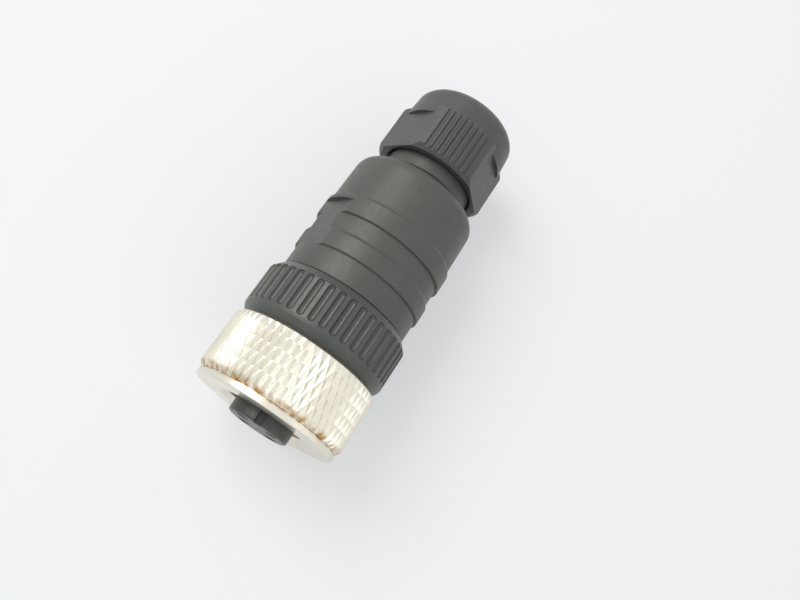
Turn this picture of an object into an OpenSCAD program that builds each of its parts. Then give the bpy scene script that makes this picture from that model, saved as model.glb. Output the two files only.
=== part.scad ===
// M12 field-wired circular connector, female, straight, four contacts.
//
// All pieces are turned about one axis. Each module is drawn along +Z, where z
// is the distance behind the front face of the coupling nut, and lay_down()
// turns that axis to -X: the mating end points to +X, and the keyway to +Z.

/* [Coupling nut] */
// Diameter over the knurl
nut_d = 20; // [19:0.1:22]
// Length of the coupling nut
nut_len = 9; // [8.6:0.1:11]
// Diamonds in one row of the knurl
knurl_count = 60; // [40:2:72]
// Distance along the nut from one row of diamonds to the next
knurl_row = 1.55; // [1.2:0.05:2]
// Depth of the knurl
knurl_depth = 0.32; // [0.1:0.02:0.4]
// Diameter of the smooth lip in front of the knurl
lip_d = 19.2; // [18.4:0.1:19.6]
// Width of the smooth lip
lip_len = 0.75; // [0.5:0.05:1]
// Width of the groove and slope between the lip and the knurl
runout_len = 0.8; // [0.6:0.05:1]
// Nominal diameter of the coupling thread
thread_d = 12; // [12:0.5:13]
// Pitch of the coupling thread
thread_pitch = 1; // [0.75:0.05:1.1]
// Length of the coupling thread, from the nut's front face
thread_len = 6.3; // [5.8:0.1:6.5]

/* [Contact insert] */
// Diameter of the barrel that enters the mating connector
barrel_d = 8.1; // [7.8:0.1:8.2]
// How far the barrel stands out in front of the nut
barrel_proud = 1.35; // [0.5:0.05:2]
// Diameter of the bearing neck that carries the nut and the collar
bearing_d = 9.2; // [9:0.1:9.3]
// Pitch circle of the contacts
contact_pcd = 5.5; // [5.3:0.1:5.6]
// Diameter of the mating pins
pin_d = 1; // [0.8:0.05:1]
// Width of the coding keyway
key_w = 1.05; // [0.8:0.05:1.2]
// Depth of the coding keyway
key_depth = 0.8; // [0.5:0.05:0.85]

/* [Grip collar] */
// How far the collar's ribs lie below the nut's knurl
collar_inset = 0.1; // [0:0.05:0.5]
// Visible length of the collar
collar_len = 7.5; // [7:0.1:9]
// Grooves round the collar
collar_ribs = 42; // [30:1:46]
// Width of one groove
collar_groove_w = 0.98; // [0.6:0.02:1.1]
// Depth of one groove
collar_groove_depth = 0.4; // [0.2:0.02:0.45]
// Diameter of the thread that enters the housing
collar_thread_d = 14.9; // [14.7:0.1:15.3]
// Length of the thread tail behind the collar
collar_tail = 5.25; // [4.6:0.05:5.5]

/* [Housing] */
// Diameter of the neck behind the collar
neck_d = 17.6; // [17.4:0.1:18]
// Length of the neck
neck_len = 3.2; // [2.8:0.1:4]
// Diameter of the raised band at the front of the middle section
mid_band_d = 18.2; // [17.9:0.1:18.8]
// Length of the middle section
mid_len = 5; // [4.5:0.1:6]
// Diameter of the raised band at the front of the rear section
rear_band_d = 18.3; // [17.9:0.1:18.8]
// Length of the rear section
rear_len = 10.1; // [9.6:0.1:13]
// Diameter behind each raised band
shell_d = 17.6; // [17.4:0.1:17.8]
// Width of each raised band
band_len = 2.2; // [1.5:0.1:2.4]
// Radius of the rounded rear shoulder
shoulder_r = 1.8; // [1:0.1:2]
// Distance across the two wrench flats
flats_across = 17; // [16.7:0.1:17.3]
// Length of the wrench flats
flats_len = 6.9; // [5.5:0.1:7.5]

/* [Gland nut] */
// Diameter over the ribbed corners
gland_d = 15.9; // [15.7:0.1:16.6]
// Distance from the axis to each of the three flats
gland_flat = 6.85; // [6.8:0.05:7.2]
// Length of the flats and ribs
gland_grip_len = 6.8; // [6.6:0.1:8]
// Diameter of the round rear end
dome_d = 14.7; // [14.4:0.1:15.2]
// Length of the round rear end
dome_len = 4.2; // [3.9:0.1:5]
// Open gap between the housing and the gland nut
gland_gap = 2.5; // [1.5:0.1:2.8]
// Diameter of the gland thread
gland_thread_d = 12; // [11.8:0.1:12.2]
// Diameter of the cable entry
entry_d = 6.6; // [6:0.1:7]
// Cable hole through the rubber seal
seal_bore_d = 5; // [4:0.1:5.6]

/* [Fits] */
// Radial clearance of a turning fit
running = 0.08; // [0.04:0.01:0.1]
// Radial clearance between the plain threads
thread_gap = 0.08; // [0.05:0.01:0.1]
// Clearance round pieces that only lie in a space
loose = 0.3; // [0.2:0.05:0.35]
// Gap between faces that meet
seam = 0.12; // [0.05:0.01:0.15]

/* [Hidden] */
$fn = 96;

// Stations along the axis, each a distance behind the nut's front face
collar_z = nut_len + seam;
collar_end_z = collar_z + collar_len;
neck_z = collar_end_z + seam;
mid_z = neck_z + neck_len;
rear_z = mid_z + mid_len;
shell_end_z = rear_z + rear_len;
gland_z = shell_end_z + gland_gap;
dome_z = gland_z + gland_grip_len;
end_z = dome_z + dome_len;

// Length of cutters that only have to reach past the part
reach = 2 * nut_d;

// Coupling nut
nut_r = nut_d / 2;
lip_r = lip_d / 2;
lip_chamfer = 0.12;
groove_r = lip_r - 0.15;
nut_bevel = 0.25;
knurl_z = lip_len + runout_len;
thread_minor_r = thread_d / 2 - 0.54 * thread_pitch;
thread_relief_r = thread_d / 2 + 0.2;
lead_in = 0.6;
flange_len = 1.4;
flange_z = nut_len - flange_len;

// Bearing neck, and the clip that keeps the nut on it
bearing_r = bearing_d / 2;
clip_t = 0.7;
clip_play = 0.3;
clip_slack = 0.04;
clip_z = flange_z - clip_play - clip_t;
clip_root_r = bearing_r - 0.75;
clip_r = bearing_r + 0.65;
clip_opening = 60;

// Barrel and its seal
barrel_r = barrel_d / 2;
barrel_edge = 0.35;
seal_t = 1.2;
seal_seat_r = barrel_r - 0.25;
land_z = clip_z - clip_slack - 0.8;
seal_mid_z = land_z - seal_t / 2 - 0.02;
seal_seat_z = seal_mid_z - seal_t / 2 - 0.1;

// Rear of the insert: flange, terminal block and anti-turn key
stop_wall = 2.8;
stop_z = collar_z + stop_wall;
stop_len = 2;
stop_r = 6;
block_r = 5.7;
block_z = stop_z + stop_len;
block_past_band = 1.5;
block_end_z = rear_z + block_past_band;
tail_end_z = collar_end_z + collar_tail;
key_z = tail_end_z + 0.5;
block_key_r = 6.8;
block_key_w = 1.6;

// Socket contacts and terminal screws
contact_turn = 45;
contact_r = contact_pcd / 2;
pin_bore_r = pin_d / 2 + 0.05;
sleeve_r = pin_bore_r + 0.28;
pin_hole_r = pin_bore_r + 0.1;
pin_mouth = 0.25;
pin_depth = 7;
contact_set_back = 0.6;
slit_w = 0.25;
slit_len = 4;
clamp_r = 1.45;
clamp_depth = 3;
clamp_z = block_z + 0.7;
clamp_end_z = block_end_z - clamp_depth;
wire_r = 0.8;
wire_depth = 6;
seat_fit = 0.03;
screw_back = 3.2;
screw_z = clamp_end_z - screw_back;
screw_r = 0.9;
screw_head_r = 1.25;
screw_tip = contact_r + wire_r - 0.2;
screw_seat = contact_r + clamp_r + 0.1;
screw_top = screw_seat + 0.9;
screw_slot_w = 0.4;

// Grip collar
collar_r = nut_r - collar_inset;
collar_front_r = collar_r - 0.85;
collar_slope = 1.3;
collar_rear_r = collar_r - 0.85;
collar_chamfer = 1.05;
rib_ends = 0.2;
tail_r = collar_thread_d / 2;
tail_bore_r = stop_r + loose;
groove_cut_r = (pow(collar_groove_w / 2, 2) + pow(collar_groove_depth, 2))
               / (2 * collar_groove_depth);
groove_axis_r = collar_r - collar_groove_depth + groove_cut_r;

// Seal between collar and housing
ring_t = 0.9;
ring_root_r = tail_r - 0.4;
ring_mid_r = ring_root_r + ring_t / 2 + 0.02;
ring_mid_z = collar_end_z + ring_t / 2 + 0.02;
ring_seat_r = ring_mid_r + ring_t / 2 + 0.04;
ring_seat_end_z = ring_mid_z + ring_t / 2 + 0.1;

// Housing
neck_r = neck_d / 2;
shell_r = shell_d / 2;
mid_band_r = mid_band_d / 2;
rear_band_r = rear_band_d / 2;
band_slope = 0.5;
band_edge = 0.12;
housing_thread_r = tail_r + thread_gap;
chamber_z = tail_end_z + 0.4;
chamber_r = 6.3;
chamber_len = 4.7;
chamber_end_z = block_end_z + chamber_len;
chamber_taper = 1.5;
key_slot_end_z = block_end_z + 0.6;
flats_turn = -60;
flats_half = flats_across / 2;

// Gland spigot, clamp cage and cable seal
spigot_r = gland_thread_d / 2;
spigot_len = 4.8;
spigot_end_z = gland_z + spigot_len;
cage_tube_r = 4.4;
cage_bore_r = 3.7;
cage_len = 7;
cage_z = spigot_end_z - cage_len;
cage_lip_len = 0.8;
cage_lip_r = 3.1;
cage_flange_r = spigot_r - 0.4;
cage_flange_len = 0.85;
cage_flange_z = spigot_end_z + 0.02;
finger_z = cage_flange_z + cage_flange_len;
finger_len = 3;
finger_root_r = 5;
finger_tip_r = 4.2;
finger_slit = 0.7;
lug_w = 1.2;
lug_len = 1;
lug_turn = 90;
seal_end_z = finger_z + finger_len - 0.3;
cable_seal_z = cage_z + cage_lip_len + 0.02;
cable_seal_r = cage_bore_r - 0.03;
seal_bore_r = seal_bore_d / 2;

// Gland nut
gland_r = gland_d / 2;
gland_bore_r = spigot_r + thread_gap;
gland_turn = 5.5;
gland_bevel = 0.6;
gland_grooves = 8;
gland_groove_step = 6.4;
gland_groove_depth = 0.28;
gland_groove_r = 0.32;
dome_r = dome_d / 2;
dome_curve = 2.3;
cone_z = finger_z + 0.4;
cone_end_z = finger_z + finger_len + 0.4;
entry_r = entry_d / 2;
entry_flare = 0.5;

// Turns the axis from +Z to -X, so that the mating end looks along +X.
module lay_down() rotate([0, -90, 0]) children();

// A solid of revolution from its outline, each point [radius, z].
module turned(outline) rotate_extrude() polygon(outline);

// A plain round bar from z0 to z1.
module rod(r, z0, z1) translate([0, 0, z0]) cylinder(r = r, h = z1 - z0);

// A plain tube from z0 to z1.
module tube(ro, ri, z0, z1) difference() {
    rod(ro, z0, z1);
    rod(ri, z0 - 1, z1 + 1);
}

// An O-ring lying round the axis.
module o_ring(mid_r, t, z) translate([0, 0, z])
    rotate_extrude() translate([mid_r, 0]) circle(r = t / 2, $fn = 40);

// Evenly spaced copies round the axis.
module ring_of(n, start = 0) for (i = [0 : n - 1]) rotate([0, 0, start + i * 360 / n]) children();

// Points of an arc in an outline, from angle a0 to a1, in n steps.
function arc(r, z, rad, a0, a1, n = 6) = [
    for (i = [0 : n]) let (a = a0 + (a1 - a0) * i / n) [r + rad * cos(a), z + rad * sin(a)]
];

// Share of the knurl depth at spoke j of row k: peaks and hollows take turns
// along a row, and each row is shifted by half a diamond.
function peak(j, k) = (j + k) % 2 == 0 ? 1 : 0;

// Radii round one ring of the knurl; share runs from row k to row k + 1.
function knurl_radii(k, share) = [
    for (j = [0 : 2 * knurl_count - 1])
        nut_r - knurl_depth * (1 - (1 - share) * peak(j, k) - share * peak(j, k + 1))
];

// Points of one ring, from its list of radii.
function ring_points(radii, z) = [
    for (j = [0 : len(radii) - 1])
        let (a = 360 * j / len(radii)) [radii[j] * cos(a), radii[j] * sin(a), z]
];

// The two triangles between two spokes and two rings, split along the hollow
// that runs between neighbouring diamonds.
function knurl_cell(j, k, n) =
    let (a = k * n + j, b = k * n + (j + 1) % n, c = a + n, d = b + n)
    peak(j, k) == 1 ? [[a, c, b], [b, c, d]] : [[a, d, b], [a, c, d]];

// The knurled outside of the nut as one solid, without its bore: a plain ring
// where the slope starts, the rows of diamonds, and a bevel at the rear.
module knurled_body() {
    n = 2 * knurl_count;
    span = (nut_len - nut_bevel - knurl_z) / knurl_row;
    rows = ceil(span) - 1;
    front_r = [for (j = [0 : n - 1]) groove_r];
    rear_r = [for (j = [0 : n - 1]) nut_r - knurl_depth - nut_bevel / 2];
    rings = concat(
        [ring_points(front_r, lip_len + 0.12)],
        [for (k = [0 : rows]) ring_points(knurl_radii(k, 0), knurl_z + k * knurl_row)],
        [ring_points(knurl_radii(rows, span - rows), nut_len - nut_bevel)],
        [ring_points(rear_r, nut_len)]);
    points = [for (ring = rings) each ring];
    last = len(rings) - 1;
    sides = [for (k = [0 : last - 1]) for (j = [0 : n - 1]) each knurl_cell(j, k, n)];
    polyhedron(points, concat(sides,
        [[for (j = [0 : n - 1]) j]],
        [[for (j = [n - 1 : -1 : 0]) last * n + j]]));
}

// Knurled nut that turns freely on the insert and screws onto the mating thread.
module coupling_nut() {
    mouth_r = thread_d / 2 + 0.1;
    color("#d9d6c8") lay_down() difference() {
        union() {
            knurled_body();
            turned([[0, 0], [lip_r - lip_chamfer, 0], [lip_r, lip_chamfer], [lip_r, lip_len],
                    [groove_r - 0.06, lip_len], [groove_r - 0.06, knurl_z + 1], [0, knurl_z + 1]]);
        }
        turned([[0, -1], [mouth_r, -1], [mouth_r, 0], [thread_minor_r, lead_in],
                [thread_minor_r, thread_len], [thread_relief_r, thread_len + 0.4],
                [thread_relief_r, flange_z], [bearing_r + running, flange_z],
                [bearing_r + running, nut_len + 1], [0, nut_len + 1]]);
    }
}

// Open spring ring that keeps the nut on the bearing neck.
module retaining_clip() {
    color("#c9c8c2") lay_down() difference() {
        tube(clip_r, clip_root_r + clip_slack, clip_z, clip_z + clip_t);
        rotate([0, 0, 180]) linear_extrude(reach)
            polygon([[0, 0], reach * [cos(clip_opening / 2), -sin(clip_opening / 2)],
                     reach * [cos(clip_opening / 2), sin(clip_opening / 2)]]);
    }
}

// Seal against the face of the mating connector.
module mating_seal() color("#2c2c2b") lay_down() o_ring(seal_seat_r + seal_t / 2 + 0.02, seal_t, seal_mid_z);

// Insulating insert: barrel, bearing neck, stop flange and terminal block.
module contact_insert() {
    front_z = -barrel_proud;
    color("#42433f") lay_down() difference() {
        union() {
            turned(concat([[0, front_z]],
                arc(barrel_r - barrel_edge, front_z + barrel_edge, barrel_edge, -90, 0, 5),
                [[barrel_r, seal_seat_z], [seal_seat_r, seal_seat_z], [seal_seat_r, land_z],
                 [bearing_r, land_z], [bearing_r, clip_z - clip_slack],
                 [clip_root_r, clip_z - clip_slack], [clip_root_r, clip_z + clip_t + clip_slack],
                 [bearing_r, clip_z + clip_t + clip_slack], [bearing_r, stop_z + seam / 2],
                 [stop_r, stop_z + seam / 2], [stop_r, block_z], [block_r, block_z + 0.3],
                 [block_r, block_end_z - 0.4], [block_r - 0.4, block_end_z], [0, block_end_z]]));
            translate([0, -block_key_w / 2, key_z])
                cube([block_key_r, block_key_w, block_end_z - 0.4 - key_z]);
        }
        translate([barrel_r - key_depth, -key_w / 2, front_z - 1])
            cube([key_depth + 1, key_w, seal_seat_z - front_z + 1]);
        ring_of(4, contact_turn) {
            translate([contact_r, 0, 0]) {
                rod(pin_hole_r, front_z - 1, 1);
                translate([0, 0, front_z])
                    cylinder(r1 = pin_hole_r + pin_mouth, r2 = pin_hole_r, h = pin_mouth);
                rod(sleeve_r + seat_fit, front_z + contact_set_back - seat_fit, clamp_z + 1);
                rod(clamp_r + seat_fit, clamp_z - seat_fit, block_end_z + 1);
            }
            translate([contact_r, 0, screw_z]) rotate([0, 90, 0])
                cylinder(r = screw_head_r + 0.15, h = block_r);
        }
    }
}

// Turned contact: split sleeve in front, wire clamp with a screw hole behind.
module socket_contact(turn) {
    tip_z = contact_set_back - barrel_proud;
    color("#caa24c") lay_down() rotate([0, 0, turn]) translate([contact_r, 0, 0]) difference() {
        union() {
            rod(sleeve_r, tip_z, clamp_z + 0.5);
            turned([[0, clamp_z], [clamp_r, clamp_z], [clamp_r, clamp_end_z - 0.2],
                    [clamp_r - 0.2, clamp_end_z], [0, clamp_end_z]]);
        }
        rod(pin_bore_r, tip_z - 1, tip_z + pin_depth);
        rod(wire_r, clamp_end_z - wire_depth, clamp_end_z + 1);
        translate([-clamp_r, -slit_w / 2, tip_z - 1]) cube([2 * clamp_r, slit_w, slit_len + 1]);
        translate([0, 0, screw_z]) rotate([0, 90, 0])
            cylinder(r = screw_r + running, h = 2 * clamp_r);
    }
}
module socket_contact_1() socket_contact(contact_turn);
module socket_contact_2() socket_contact(contact_turn + 90);
module socket_contact_3() socket_contact(contact_turn + 180);
module socket_contact_4() socket_contact(contact_turn + 270);

// Slotted screw that presses the wire in its contact, set radially.
module terminal_screw(turn) {
    color("#c4c3bd") lay_down() rotate([0, 0, turn]) translate([0, 0, screw_z]) rotate([0, 90, 0])
        difference() {
            union() {
                turned([[0, screw_tip], [screw_r - 0.2, screw_tip], [screw_r, screw_tip + 0.2],
                        [screw_r, screw_seat + 0.1], [0, screw_seat + 0.1]]);
                rod(screw_head_r, screw_seat, screw_top);
            }
            translate([-reach / 2, -screw_slot_w / 2, screw_top - 0.45]) cube([reach, screw_slot_w, 1]);
        }
}
module terminal_screw_1() terminal_screw(contact_turn);
module terminal_screw_2() terminal_screw(contact_turn + 90);
module terminal_screw_3() terminal_screw(contact_turn + 180);
module terminal_screw_4() terminal_screw(contact_turn + 270);

// Ribbed collar that screws into the housing and holds the insert in it.
module grip_collar() {
    rib_z = collar_z + collar_slope + rib_ends + groove_cut_r;
    rib_end_z = collar_end_z - collar_chamfer - groove_cut_r + 0.15;
    color("#45463f") lay_down() difference() {
        turned(concat([[bearing_r + running, collar_z]],
            [[collar_front_r, collar_z], [collar_r - 0.3, collar_z + 0.55 * collar_slope],
             [collar_r - 0.06, collar_z + 0.86 * collar_slope], [collar_r, collar_z + 1.1 * collar_slope],
             [collar_r, collar_end_z - collar_chamfer], [collar_rear_r, collar_end_z],
             [ring_root_r, collar_end_z], [ring_root_r, ring_seat_end_z], [tail_r, ring_seat_end_z + 0.3],
             [tail_r, tail_end_z - 0.3], [tail_r - 0.3, tail_end_z], [tail_bore_r, tail_end_z],
             [tail_bore_r, stop_z], [bearing_r + running, stop_z]]));
        ring_of(collar_ribs) translate([groove_axis_r, 0, 0]) {
            rod(groove_cut_r, rib_z, rib_end_z);
            translate([0, 0, rib_z]) sphere(r = groove_cut_r, $fn = 32);
            translate([0, 0, rib_end_z]) sphere(r = groove_cut_r, $fn = 32);
        }
    }
}

// Seal between the collar and the housing.
module housing_seal() color("#2c2c2b") lay_down() o_ring(ring_mid_r, ring_t, ring_mid_z);

// Housing shell: neck, two banded sections with wrench flats, gland spigot.
module housing() {
    bore = [[0, neck_z - 1], [ring_seat_r, neck_z - 1], [ring_seat_r, ring_seat_end_z],
            [housing_thread_r, ring_seat_end_z + 0.4], [housing_thread_r, chamber_z],
            [chamber_r, chamber_z], [chamber_r, chamber_end_z],
            [cage_tube_r + running, chamber_end_z + chamber_taper],
            [cage_tube_r + running, spigot_end_z + 1], [0, spigot_end_z + 1]];
    shell = concat(
        [[0, neck_z], [neck_r - band_edge, neck_z], [neck_r, neck_z + band_edge], [neck_r, mid_z],
         [mid_band_r - band_edge, mid_z], [mid_band_r, mid_z + band_edge], [mid_band_r, mid_z + band_len],
         [shell_r, mid_z + band_len + band_slope], [shell_r, rear_z],
         [rear_band_r - band_edge, rear_z], [rear_band_r, rear_z + band_edge],
         [rear_band_r, rear_z + band_len + 0.2], [shell_r, rear_z + band_len + 0.2 + band_slope]],
        arc(shell_r - 0.1 - shoulder_r, shell_end_z - shoulder_r, shoulder_r, 0, 90, 8),
        [[spigot_r - 0.6, shell_end_z], [spigot_r - 0.6, shell_end_z + 0.5],
         [spigot_r, shell_end_z + 0.8], [spigot_r, spigot_end_z - 0.4],
         [spigot_r - 0.4, spigot_end_z], [0, spigot_end_z]]);
    color("#45463f") lay_down() difference() {
        turned(shell);
        turned(bore);
        translate([0, -block_key_w / 2 - 0.15, chamber_z - 1])
            cube([block_key_r + 0.25, block_key_w + 0.3, key_slot_end_z - chamber_z + 1]);
        ring_of(2, flats_turn) translate([flats_half, -reach / 2, mid_z]) cube([reach, reach, flats_len]);
        ring_of(2, lug_turn) translate([0, -lug_w / 2 - 0.12, spigot_end_z - lug_len - 0.15])
            cube([reach, lug_w + 0.24, lug_len + 1]);
    }
}

// Cage with spring fingers that closes on the cable seal.
module clamp_cage() {
    color("#4a4b46") lay_down() difference() {
        union() {
            rod(cage_tube_r, cage_z, finger_z);
            turned([[0, cage_flange_z], [cage_flange_r, cage_flange_z], [cage_flange_r, finger_z],
                    [finger_root_r, finger_z], [finger_tip_r, finger_z + finger_len],
                    [0, finger_z + finger_len]]);
            ring_of(2, lug_turn) translate([0, -lug_w / 2, spigot_end_z - lug_len])
                cube([cage_flange_r, lug_w, lug_len + 0.5]);
        }
        rod(cage_lip_r, cage_z - 1, finger_z);
        rod(cage_bore_r, cage_z + cage_lip_len, end_z);
        ring_of(3) translate([-reach / 2, -finger_slit / 2, finger_z + 0.3])
            cube([reach, finger_slit, finger_len]);
    }
}

// Rubber sleeve that grips and seals the cable.
module cable_seal() color("#2c2c2b") lay_down() tube(cable_seal_r, seal_bore_r, cable_seal_z, seal_end_z);

// Gland nut: three ribbed corners, three flats, round rear end.
module gland_nut() {
    grip = [[0, gland_z], [gland_r - gland_bevel, gland_z], [gland_r, gland_z + gland_bevel],
            [gland_r, dome_z - 0.25], [gland_r - 0.25, dome_z], [0, dome_z]];
    dome = concat([[0, dome_z - 1], [dome_r, dome_z - 1], [dome_r, dome_z]],
        arc(dome_r - 0.12 - dome_curve, end_z - dome_curve, dome_curve, 12, 90, 7),
        [[0, end_z]]);
    color("#45463f") lay_down() difference() {
        union() {
            difference() {
                turned(grip);
                ring_of(3, gland_turn + 60) translate([gland_flat, -reach / 2, gland_z - 1])
                    cube([reach, reach, gland_grip_len + 2]);
                ring_of(3, gland_turn) for (i = [0 : gland_grooves - 1])
                    rotate([0, 0, (i - (gland_grooves - 1) / 2) * gland_groove_step])
                        translate([gland_r - gland_groove_depth + gland_groove_r, 0, 0])
                            rod(gland_groove_r, gland_z - 1, dome_z + 1);
            }
            turned(dome);
        }
        turned([[0, gland_z - 1], [gland_bore_r + 0.4, gland_z - 1], [gland_bore_r + 0.4, gland_z],
                [gland_bore_r, gland_z + 0.4], [gland_bore_r, cone_z],
                [finger_root_r + 0.3, cone_z], [finger_tip_r + 0.3, cone_end_z],
                [entry_r, cone_end_z], [entry_r, end_z - entry_flare],
                [entry_r + entry_flare, end_z], [entry_r + entry_flare, end_z + 1], [0, end_z + 1]]);
    }
}

coupling_nut();
retaining_clip();
mating_seal();
contact_insert();
socket_contact_1();
socket_contact_2();
socket_contact_3();
socket_contact_4();
terminal_screw_1();
terminal_screw_2();
terminal_screw_3();
terminal_screw_4();
grip_collar();
housing_seal();
housing();
clamp_cage();
cable_seal();
gland_nut();
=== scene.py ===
"""Looks for a straight M12 circular cable connector: finishes, coupling thread, floor, lamps and camera."""

import math

import bpy
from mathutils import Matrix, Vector


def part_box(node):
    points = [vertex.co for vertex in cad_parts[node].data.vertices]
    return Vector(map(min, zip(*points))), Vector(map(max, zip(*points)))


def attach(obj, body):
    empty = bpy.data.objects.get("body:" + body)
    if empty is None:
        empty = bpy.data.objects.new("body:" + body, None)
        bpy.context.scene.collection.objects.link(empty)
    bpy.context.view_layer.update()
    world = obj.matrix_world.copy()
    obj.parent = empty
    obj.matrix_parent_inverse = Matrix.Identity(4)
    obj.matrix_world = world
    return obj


bl_info = {
    "name": "M12 cable connector",
    "version": (1, 0, 0),
    "blender": (4, 5, 0),
    "location": "3D View > Sidebar > Connector",
    "description": "Finishes a circular sensor connector with a knurled nut and sets a white stage for it",
    "category": "Object",
}

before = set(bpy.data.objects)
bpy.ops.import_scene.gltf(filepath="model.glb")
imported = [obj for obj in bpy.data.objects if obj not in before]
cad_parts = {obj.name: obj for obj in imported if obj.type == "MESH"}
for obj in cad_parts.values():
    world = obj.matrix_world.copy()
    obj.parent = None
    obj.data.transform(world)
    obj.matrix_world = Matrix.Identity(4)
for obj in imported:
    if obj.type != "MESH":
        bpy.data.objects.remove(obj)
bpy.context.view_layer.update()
MM = 0.001
NUT_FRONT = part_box("coupling_nut")[1].x
NUT_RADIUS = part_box("coupling_nut")[1].z
CONTACTS = [f"socket_contact_{i}" for i in range(1, 5)]
SCREWS = [f"terminal_screw_{i}" for i in range(1, 5)]

THREAD_LEAD_IN = 0.8  # distance from the nut's front to the first turn, in pitches
THREAD_SINK = 0.02 * MM  # how deep the thread's foot lies in the wall of the bore
MARK_DEPTH = 0.004 * MM  # height of the marks that cutting leaves on metal
MARK_STRENGTH = 0.5
NOISE_LOW, NOISE_HIGH = 0.3, 0.7  # nearly all values of a noise pattern lie between these


# ---------------------------------------------------------------- settings


def srgb(hex_colour, alpha=1.0):
    """A hex colour as the linear values that shaders and lamps take."""
    parts = [int(hex_colour.lstrip("#")[i : i + 2], 16) / 255 for i in (0, 2, 4)]
    linear = [c / 12.92 if c <= 0.04045 else ((c + 0.055) / 1.055) ** 2.4 for c in parts]
    return (*linear, alpha)


def colour_setting(name, hex_colour, description):
    """A colour that the sidebar shows, with its default written as hex."""
    return bpy.props.FloatVectorProperty(
        name=name,
        description=description,
        subtype="COLOR",
        size=3,
        min=0.0,
        max=1.0,
        default=srgb(hex_colour)[:3],
    )


def length_setting(name, default, lowest, highest, description):
    """A length that the sidebar shows. Its default and its limits are given in millimetres."""
    return bpy.props.FloatProperty(
        name=name,
        description=description,
        default=default * MM,
        min=lowest * MM,
        max=highest * MM,
        unit="LENGTH",
        precision=5,
    )


class ConnectorSizes(bpy.types.PropertyGroup):
    """Sizes of the pieces and textures that the frame doesn't hold."""

    thread_pitch: length_setting(
        "Thread pitch", 1.0, 0.5, 2.0, "Distance from one turn of the coupling thread to the next"
    )
    thread_bore: length_setting(
        "Thread bore", 5.46, 4.0, 8.0, "Radius of the nut's bore, where the thread has its root"
    )
    thread_height: length_setting(
        "Thread height", 0.15, 0.1, 1.0, "How far the thread stands in from its root"
    )
    thread_turns: bpy.props.FloatProperty(
        name="Thread turns",
        description="Turns of the coupling thread",
        default=5.0,
        min=1.0,
        max=12.0,
    )
    mould_grain: length_setting(
        "Mould grain", 0.16, 0.02, 1.0, "Size of the grain that a spark-eroded mould leaves on the plastic"
    )
    lathe_lines: length_setting(
        "Lathe lines", 0.12, 0.02, 1.0, "Distance between the fine lines that turning leaves on the nut"
    )


class ConnectorColours(bpy.types.PropertyGroup):
    """Colours of the finishes."""

    nickel: colour_setting("Nickel", "#e6e2d4", "Bright nickel plating of the coupling nut")
    # painted shade: a brownish tone put in patches in the groove between the nut's lip and knurl
    groove_shade: colour_setting("Groove shade", "#b08d5a", "Where brass shows through thin plating")
    shell_plastic: colour_setting("Shell plastic", "#4f524c", "Glass-filled polyamide of the housing")
    collar_plastic: colour_setting("Collar plastic", "#4d504b", "Polyamide of the ribbed collar")
    gland_plastic: colour_setting("Gland plastic", "#4a4e49", "Polyamide of the gland nut")
    insert_plastic: colour_setting("Insert plastic", "#42433f", "PBT of the insert, polyamide of the cage")
    rubber: colour_setting("Rubber", "#232322", "Nitrile rubber of the seals")
    gold: colour_setting("Gold", "#e0b25a", "Flash gold plating of the contacts")
    zinc: colour_setting("Zinc", "#c9c9c6", "Zinc-plated screws")
    spring_steel: colour_setting("Spring steel", "#b4b2ac", "Bare spring steel of the clip")


class ConnectorStage(bpy.types.PropertyGroup):
    """Camera, lamps and floor."""

    camera_place: bpy.props.FloatVectorProperty(
        name="Camera place",
        description="Where the camera stands",
        subtype="TRANSLATION",
        unit="LENGTH",
        default=(11.411 * MM, 5.365 * MM, 102.377 * MM),
    )
    camera_turn: bpy.props.FloatVectorProperty(
        name="Camera turn",
        description="How the camera is turned, about X, then Y, then Z",
        subtype="EULER",
        unit="ROTATION",
        default=(math.radians(14.969), math.radians(-10.038), math.radians(122.514)),
    )
    camera_lens: bpy.props.FloatProperty(
        name="Lens",
        description="Focal length in millimetres, for a 36 mm wide sensor",
        default=38.25,
        min=10,
        max=200,
    )
    floor_drop: bpy.props.FloatProperty(
        name="Floor height",
        description="Distance from the connector's axis down to the floor",
        default=NUT_RADIUS + 0.02 * MM,
        unit="LENGTH",
        precision=5,
    )
    key_power: bpy.props.FloatProperty(
        name="Key light", description="Power of the large soft lamp", default=0.9, min=0, unit="POWER"
    )
    fill_power: bpy.props.FloatProperty(
        name="Fill light", description="Power of the lamp on the other side", default=0.12, min=0, unit="POWER"
    )
    room_light: bpy.props.FloatProperty(
        name="Room light", description="Strength of the light from all round", default=0.55, min=0, max=2
    )


# ---------------------------------------------------------------- shader nodes


def add_node(tree, kind, settings=None, inputs=None):
    """Adds one shader node. Settings are the node's own choices. Each input is a value, or the output of
    another node, which is then linked to it."""
    made = tree.nodes.new(kind)
    for name, value in (settings or {}).items():
        setattr(made, name, value)
    for name, value in (inputs or {}).items():
        if isinstance(value, bpy.types.NodeSocket):
            tree.links.new(value, made.inputs[name])
        else:
            made.inputs[name].default_value = value
    return made


def new_material(name):
    """An empty material: the material, its node tree, its Principled shader, and the point on the object."""
    material = bpy.data.materials.new(name)
    material.use_nodes = True
    tree = material.node_tree
    tree.nodes.clear()
    shader = add_node(tree, "ShaderNodeBsdfPrincipled")
    add_node(tree, "ShaderNodeOutputMaterial", inputs={"Surface": shader.outputs["BSDF"]})
    spot = add_node(tree, "ShaderNodeTexCoord").outputs["Object"]
    return material, tree, shader, spot


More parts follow.
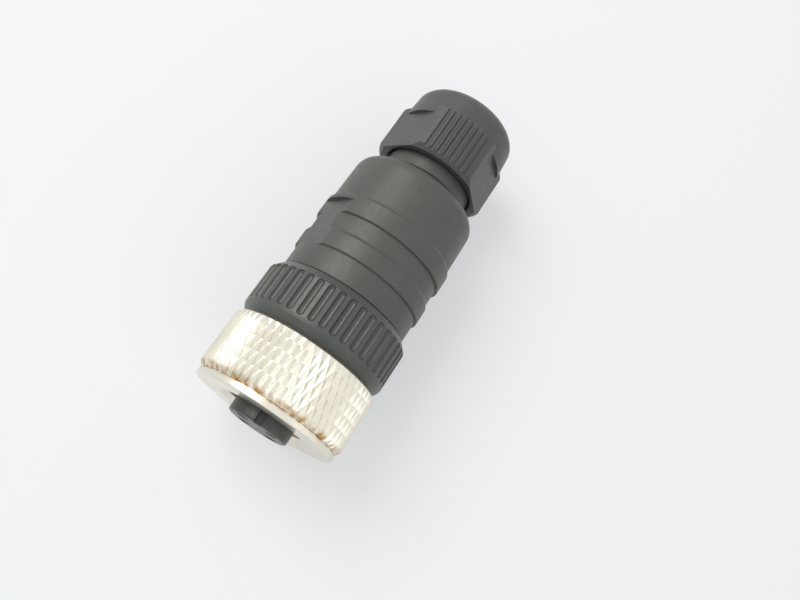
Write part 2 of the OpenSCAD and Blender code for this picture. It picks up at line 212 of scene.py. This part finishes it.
def around_axis(tree, spot):
    """How far along the axis the point is, and the point as (along the axis, distance from the axis, 0), so
    that a pattern on it runs in rings."""
    apart = add_node(tree, "ShaderNodeSeparateXYZ", inputs={"Vector": spot})
    across = add_node(tree, "ShaderNodeCombineXYZ", inputs={"Y": apart.outputs["Y"], "Z": apart.outputs["Z"]})
    radius = add_node(tree, "ShaderNodeVectorMath", {"operation": "LENGTH"}, {0: across.outputs["Vector"]})
    rings = add_node(
        tree, "ShaderNodeCombineXYZ", inputs={"X": apart.outputs["X"], "Y": radius.outputs["Value"]}
    )
    return apart.outputs["X"], rings.outputs["Vector"]


def shade(colour, factor):
    """A colour made lighter or darker, as a shader value."""
    return tuple(min(1.0, c * factor) for c in colour[:3]) + (1.0,)


def two_tone(tree, pattern, dark, light):
    """A colour that a pattern carries from a dark to a light tone."""
    share = add_node(
        tree, "ShaderNodeMapRange", inputs={"Value": pattern, "From Min": NOISE_LOW, "From Max": NOISE_HIGH}
    )
    share = share.outputs["Result"]
    tone = add_node(tree, "ShaderNodeMix", {"data_type": "RGBA"}, {0: share, 6: dark, 7: light})
    return tone.outputs[2]


def gloss_and_relief(tree, shader, patches, gloss, grains, depth, strength):
    """One pattern carries the roughness between two values, and another one stands depth metres high."""
    rough = add_node(
        tree,
        "ShaderNodeMapRange",
        inputs={
            "Value": patches,
            "From Min": NOISE_LOW,
            "From Max": NOISE_HIGH,
            "To Min": gloss[0],
            "To Max": gloss[1],
        },
    )
    relief = add_node(
        tree, "ShaderNodeBump", inputs={"Strength": strength, "Distance": depth, "Height": grains}
    )
    tree.links.new(rough.outputs["Result"], shader.inputs["Roughness"])
    tree.links.new(relief.outputs["Normal"], shader.inputs["Normal"])


# ---------------------------------------------------------------- finishes


def moulded(name, ior, tones, cloud, gloss, patch, grain, depth, strength, cloud_detail=2.0, fine=(2.0, 0.5)):
    """A moulded surface. Its colour drifts between two tones in clouds, its roughness between two values in
    patches, and a fine grain stands on it. Cloud, patch and grain are widths in metres, depth is the grain's
    height, and fine is how much smaller detail the grain has and how strong that is."""
    material, tree, shader, spot = new_material(name)
    clouds = add_node(
        tree, "ShaderNodeTexNoise", inputs={"Vector": spot, "Scale": 1 / cloud, "Detail": cloud_detail}
    )
    patches = add_node(tree, "ShaderNodeTexNoise", inputs={"Vector": spot, "Scale": 1 / patch})
    grains = add_node(
        tree,
        "ShaderNodeTexNoise",
        inputs={"Vector": spot, "Scale": 1 / grain, "Detail": fine[0], "Roughness": fine[1]},
    )
    tree.links.new(two_tone(tree, clouds.outputs["Fac"], *tones), shader.inputs["Base Color"])
    gloss_and_relief(tree, shader, patches.outputs["Fac"], gloss, grains.outputs["Fac"], depth, strength)
    shader.inputs["IOR"].default_value = ior
    return material


def moulded_polyamide(name, colour, grain, gloss=0.42):
    """Black polyamide moulded in a spark-eroded tool: an even, slightly grey satin with a fine grain, a little
    cloudier where the glass filling comes to the surface."""
    # real grain is some 0.03 mm across; it is drawn coarser, at the set size, so that it shows
    return moulded(
        name,
        ior=1.53,
        tones=(shade(colour, 0.93), shade(colour, 1.08)),
        cloud=2.5 * MM,
        cloud_detail=3.0,
        gloss=(gloss - 0.05, gloss + 0.07),
        patch=0.6 * MM,
        grain=grain,
        fine=(3.0, 0.6),
        depth=0.012 * MM,
        strength=0.8,
    )


def moulded_pbt(name, colour, grain):
    """Black PBT moulded in a polished tool: smoother and glossier than the shell."""
    return moulded(
        name,
        ior=1.55,
        tones=(shade(colour, 0.92), shade(colour, 1.08)),
        cloud=1.5 * MM,
        gloss=(0.3, 0.42),
        patch=0.4 * MM,
        grain=grain,
        depth=0.006 * MM,
        strength=0.6,
    )


def nitrile_rubber(name, colour, grain):
    """Moulded nitrile rubber: dull black with a faint bloom."""
    return moulded(
        name,
        ior=1.5,
        tones=(shade(colour, 0.8), shade(colour, 1.25)),
        cloud=0.8 * MM,
        cloud_detail=3.0,
        gloss=(0.68, 0.85),
        patch=0.3 * MM,
        grain=grain,
        depth=0.01 * MM,
        strength=0.6,
    )


def bright_nickel(name, nickel, groove_shade_colour, line):
    """Nickel plating on turned brass: bright and slightly warm, with fine turning lines. A brownish painted
    shade lies in patches in the groove between lip and knurl."""
    material, tree, shader, spot = new_material(name)
    along, rings = around_axis(tree, spot)
    clouds = add_node(tree, "ShaderNodeTexNoise", inputs={"Vector": spot, "Scale": 1 / (3 * MM)})
    tarnish = two_tone(tree, clouds.outputs["Fac"], shade(nickel, 0.94), shade(nickel, 1.03))

    patches = add_node(
        tree, "ShaderNodeTexNoise", inputs={"Vector": spot, "Scale": 1 / (0.9 * MM), "Detail": 3.0}
    )
    # painted shade: brownish patches in the groove between lip and knurl, about 0.55 to 1.9 mm behind the
    # nut's front
    depth = add_node(tree, "ShaderNodeMath", {"operation": "SUBTRACT"}, {0: NUT_FRONT, 1: along})
    in_patch = (patches.outputs["Fac"], 0.35, 0.65)
    past_lip = (depth.outputs["Value"], 0.55 * MM, 0.85 * MM)
    before_knurl = (depth.outputs["Value"], 1.9 * MM, 1.15 * MM)
    shade_share = 1.0
    for value, none, full in (in_patch, past_lip, before_knurl):
        ramp = add_node(
            tree, "ShaderNodeMapRange", inputs={"Value": value, "From Min": none, "From Max": full}
        )
        both = add_node(
            tree, "ShaderNodeMath", {"operation": "MULTIPLY"}, {0: shade_share, 1: ramp.outputs["Result"]}
        )
        shade_share = both.outputs["Value"]
    colour = add_node(
        tree, "ShaderNodeMix", {"data_type": "RGBA"}, {0: shade_share, 6: tarnish, 7: (*groove_shade_colour, 1.0)}
    )
    tree.links.new(colour.outputs[2], shader.inputs["Base Color"])

    shader.inputs["Metallic"].default_value = 1.0
    # real turning lines are closer together; they are drawn at the set distance, so that they show
    lines = add_node(
        tree, "ShaderNodeTexNoise", inputs={"Vector": rings, "Scale": 1 / line, "Roughness": 0.6}
    ).outputs["Fac"]
    gloss_and_relief(tree, shader, lines, (0.16, 0.3), lines, MARK_DEPTH, MARK_STRENGTH)
    return material


def plated_metal(name, colour, roughness, speck):
    """Metal with a thin plating or a bare skin. Its tone, sheen and relief vary in specks of a given width."""
    material, tree, shader, spot = new_material(name)
    specks = add_node(tree, "ShaderNodeTexNoise", inputs={"Vector": spot, "Scale": 1 / speck}).outputs["Fac"]
    tone = two_tone(tree, specks, shade(colour, 0.9), shade(colour, 1.05))
    tree.links.new(tone, shader.inputs["Base Color"])
    shader.inputs["Metallic"].default_value = 1.0
    gloss = (roughness - 0.06, roughness + 0.08)
    gloss_and_relief(tree, shader, specks, gloss, specks, MARK_DEPTH, MARK_STRENGTH)
    return material


def finish_node(node, material):
    """Gives a CAD node its finish."""
    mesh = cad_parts[node].data
    mesh.materials.clear()
    mesh.materials.append(material)


# ---------------------------------------------------------------- pieces


def thread_mesh(name, start, pitch, turns, root, crest, steps=72, fade_rate=3):
    """A helical ridge about the X axis, in so many steps to a turn. It starts at x = start, runs towards -X
    and rises from the root radius to the crest radius. It fades out over 1 / fade_rate turns at each end."""
    foot, tip = 0.42, 0.07  # half widths of the ridge, in pitches
    profile = [(-foot, 0.0), (-tip, 1.0), (tip, 1.0), (foot, 0.0)]
    width = len(profile)
    rings = int(turns * steps) + 1
    points, faces = [], []
    for ring in range(rings):
        turn = ring / steps
        fade = max(0.0, min(1.0, turn * fade_rate, (turns - turn) * fade_rate))
        angle = 2 * math.pi * turn
        for shift, rise in profile:
            radius = root + (crest - root) * rise * fade
            x = start - turn * pitch - shift * pitch
            points.append((x, radius * math.sin(angle), radius * math.cos(angle)))
    for ring in range(rings - 1):
        for side in range(width - 1):
            corner = ring * width + side
            faces.append((corner, corner + 1, corner + 1 + width, corner + width))
    mesh = bpy.data.meshes.new(name)
    mesh.from_pydata(points, [], faces)
    piece = bpy.data.objects.new(name, mesh)
    bpy.context.scene.collection.objects.link(piece)
    return piece


class CONNECTOR_OT_coupling_nut(bpy.types.Operator):
    """Finish the knurled nut and cut its coupling thread"""

    bl_idname = "connector.coupling_nut"
    bl_label = "Coupling nut"

    def execute(self, context):
        sizes, colours = context.scene.connector_sizes, context.scene.connector_colours
        nickel = bright_nickel(
            "bright_nickel_on_brass", colours.nickel, colours.groove_shade, sizes.lathe_lines
        )
        finish_node("coupling_nut", nickel)
        thread = thread_mesh(
            "coupling_thread",
            start=NUT_FRONT - THREAD_LEAD_IN * sizes.thread_pitch,
            pitch=sizes.thread_pitch,
            turns=sizes.thread_turns,
            root=sizes.thread_bore + THREAD_SINK,
            crest=sizes.thread_bore - sizes.thread_height,
        )
        thread.data.materials.append(nickel)
        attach(thread, "nut")
        return {"FINISHED"}


class CONNECTOR_OT_insert(bpy.types.Operator):
    """Finish the insert with its contacts, screws, clip and seal"""

    bl_idname = "connector.insert"
    bl_label = "Insert and contacts"

    def execute(self, context):
        sizes, colours = context.scene.connector_sizes, context.scene.connector_colours
        insert = moulded_pbt("moulded_pbt_black", colours.insert_plastic, sizes.mould_grain)
        finish_node("contact_insert", insert)
        # a flash of gold on turned brass: warm yellow and bright
        gold = plated_metal("flash_gold_on_brass", colours.gold, roughness=0.25, speck=0.15 * MM)
        for node in CONTACTS:
            finish_node(node, gold)
        # zinc plating on steel: pale grey and slightly dull
        zinc = plated_metal("zinc_plated_steel", colours.zinc, roughness=0.34, speck=0.12 * MM)
        for node in SCREWS:
            finish_node(node, zinc)
        # bare drawn spring steel: darker grey, and duller than the plated pieces
        steel = plated_metal("spring_steel", colours.spring_steel, roughness=0.38, speck=0.2 * MM)
        finish_node("retaining_clip", steel)
        finish_node("mating_seal", nitrile_rubber("nitrile_rubber_ring", colours.rubber, sizes.mould_grain))
        return {"FINISHED"}


class CONNECTOR_OT_collar(bpy.types.Operator):
    """Finish the ribbed collar and its seal"""

    bl_idname = "connector.collar"
    bl_label = "Grip collar"

    def execute(self, context):
        sizes, colours = context.scene.connector_sizes, context.scene.connector_colours
        collar = moulded_polyamide("polyamide_collar", colours.collar_plastic, sizes.mould_grain, gloss=0.36)
        finish_node("grip_collar", collar)
        finish_node("housing_seal", nitrile_rubber("nitrile_rubber_gasket", colours.rubber, sizes.mould_grain))
        return {"FINISHED"}


class CONNECTOR_OT_housing(bpy.types.Operator):
    """Finish the housing shell"""

    bl_idname = "connector.housing"
    bl_label = "Housing"

    def execute(self, context):
        sizes, colours = context.scene.connector_sizes, context.scene.connector_colours
        shell = moulded_polyamide("polyamide_shell", colours.shell_plastic, sizes.mould_grain, gloss=0.44)
        finish_node("housing", shell)
        return {"FINISHED"}


class CONNECTOR_OT_gland(bpy.types.Operator):
    """Finish the gland nut, clamp cage and cable seal"""

    bl_idname = "connector.gland"
    bl_label = "Cable gland"

    def execute(self, context):
        sizes, colours = context.scene.connector_sizes, context.scene.connector_colours
        nut = moulded_polyamide("polyamide_gland_nut", colours.gland_plastic, sizes.mould_grain)
        finish_node("gland_nut", nut)
        cage = moulded_polyamide("polyamide_cage", colours.insert_plastic, sizes.mould_grain, gloss=0.4)
        finish_node("clamp_cage", cage)
        finish_node("cable_seal", nitrile_rubber("nitrile_rubber_sleeve", colours.rubber, sizes.mould_grain))
        return {"FINISHED"}


# ---------------------------------------------------------------- stage


def pale_where_seen(tree, plain, seen, share=1.0):
    """Shows the plain shader to light, and a share of the seen one to the camera, to mirrors and to glass."""
    path = add_node(tree, "ShaderNodeLightPath")
    looked_at = path.outputs["Is Camera Ray"]
    for other in ("Is Glossy Ray", "Is Transmission Ray"):
        either = add_node(
            tree, "ShaderNodeMath", {"operation": "MAXIMUM"}, {0: looked_at, 1: path.outputs[other]}
        )
        looked_at = either.outputs["Value"]
    part = add_node(tree, "ShaderNodeMath", {"operation": "MULTIPLY"}, {0: looked_at, 1: share})
    shown = add_node(tree, "ShaderNodeMixShader", inputs={0: part.outputs["Value"], 1: plain, 2: seen})
    return shown.outputs["Shader"]


def white_paper():
    """White paper: it lifts towards pure white where it is seen, and keeps the soft shadow."""
    material = bpy.data.materials.new("white_paper")
    material.use_nodes = True
    tree = material.node_tree
    tree.nodes.clear()
    matt = add_node(tree, "ShaderNodeBsdfDiffuse", inputs={"Color": srgb("#f6f7f8")})
    lift = add_node(tree, "ShaderNodeEmission", inputs={"Color": srgb("#ffffff"), "Strength": 1.0})
    surface = pale_where_seen(tree, matt.outputs["BSDF"], lift.outputs["Emission"], share=0.45)
    add_node(tree, "ShaderNodeOutputMaterial", inputs={"Surface": surface})
    return material


def pale_room(strength):
    """A plain pale room: even light, and white where it is seen."""
    world = bpy.data.worlds.new("pale_room")
    bpy.context.scene.world = world
    world.use_nodes = True
    tree = world.node_tree
    tree.nodes.clear()
    even = add_node(tree, "ShaderNodeBackground", inputs={"Color": srgb("#f7faff"), "Strength": strength})
    seen = add_node(tree, "ShaderNodeBackground", inputs={"Color": srgb("#ffffff"), "Strength": 1.0})
    surface = pale_where_seen(tree, even.outputs["Background"], seen.outputs["Background"])
    add_node(tree, "ShaderNodeOutputWorld", inputs={"Surface": surface})


def paper_floor(drop, half_width):
    """A square sheet of paper under the connector, drop metres below its axis."""
    corners = [(half_width * x, half_width * y, 0) for x, y in ((-1, -1), (1, -1), (1, 1), (-1, 1))]
    mesh = bpy.data.meshes.new("floor")
    mesh.from_pydata(corners, [], [(0, 1, 2, 3)])
    mesh.materials.append(white_paper())
    floor = bpy.data.objects.new("floor", mesh)
    floor.location = (0, 0, -drop)
    bpy.context.scene.collection.objects.link(floor)


def softbox(name, place, aim, width, power, colour):
    """A square soft lamp that looks at a point."""
    data = bpy.data.lights.new(name, "AREA")
    data.shape = "SQUARE"
    data.size = width
    data.energy = power
    data.color = srgb(colour)[:3]
    lamp = bpy.data.objects.new(name, data)
    lamp.location = place
    lamp.rotation_euler = (Vector(aim) - Vector(place)).to_track_quat("-Z", "Y").to_euler()
    bpy.context.scene.collection.objects.link(lamp)


def set_camera(place, turn, lens):
    """The scene's camera, with its lens in millimetres."""
    data = bpy.data.cameras.new("camera")
    data.sensor_width = 36
    data.lens = lens
    data.clip_start = 1 * MM
    camera = bpy.data.objects.new("camera", data)
    camera.location = place
    camera.rotation_euler = turn
    bpy.context.scene.collection.objects.link(camera)
    bpy.context.scene.camera = camera


class CONNECTOR_OT_stage(bpy.types.Operator):
    """Set the floor, lamps and camera"""

    bl_idname = "connector.stage"
    bl_label = "Stage"

    def execute(self, context):
        stage = context.scene.connector_stage
        aim = (-22 * MM, 0, 0)  # on the axis, inside the housing
        paper_floor(stage.floor_drop, half_width=1.5)
        pale_room(stage.room_light)
        softbox("key_softbox", (-0.10, -0.26, 0.34), aim, width=0.26, power=stage.key_power, colour="#fffdf8")
        softbox("fill_softbox", (0.12, 0.30, 0.22), aim, width=0.30, power=stage.fill_power, colour="#f6f9ff")
        set_camera(stage.camera_place, stage.camera_turn, stage.camera_lens)
        context.scene.view_settings.view_transform = "Standard"
        return {"FINISHED"}


# ---------------------------------------------------------------- add-on


OPERATORS = (
    CONNECTOR_OT_coupling_nut,
    CONNECTOR_OT_insert,
    CONNECTOR_OT_collar,
    CONNECTOR_OT_housing,
    CONNECTOR_OT_gland,
    CONNECTOR_OT_stage,
)
GROUPS = {
    "connector_sizes": ConnectorSizes,
    "connector_colours": ConnectorColours,
    "connector_stage": ConnectorStage,
}


class CONNECTOR_PT_panel(bpy.types.Panel):
    """Connector pieces and their settings"""

    bl_idname = "CONNECTOR_PT_panel"
    bl_label = "M12 connector"
    bl_space_type = "VIEW_3D"
    bl_region_type = "UI"
    bl_category = "Connector"

    def draw(self, context):
        for operator in OPERATORS:
            self.layout.operator(operator.bl_idname)
        for group in GROUPS:
            settings = getattr(context.scene, group)
            box = self.layout.box()
            for name in settings.__annotations__:
                box.prop(settings, name)


def register():
    for made in (*GROUPS.values(), *OPERATORS, CONNECTOR_PT_panel):
        bpy.utils.register_class(made)
    for name, group in GROUPS.items():
        setattr(bpy.types.Scene, name, bpy.props.PointerProperty(type=group))


def unregister():
    for name in GROUPS:
        delattr(bpy.types.Scene, name)
    for made in reversed((*GROUPS.values(), *OPERATORS, CONNECTOR_PT_panel)):
        bpy.utils.unregister_class(made)


def main():
    register()
    bpy.ops.connector.coupling_nut()
    bpy.ops.connector.insert()
    bpy.ops.connector.collar()
    bpy.ops.connector.housing()
    bpy.ops.connector.gland()
    bpy.ops.connector.stage()


if __name__ == "__main__":
    main()
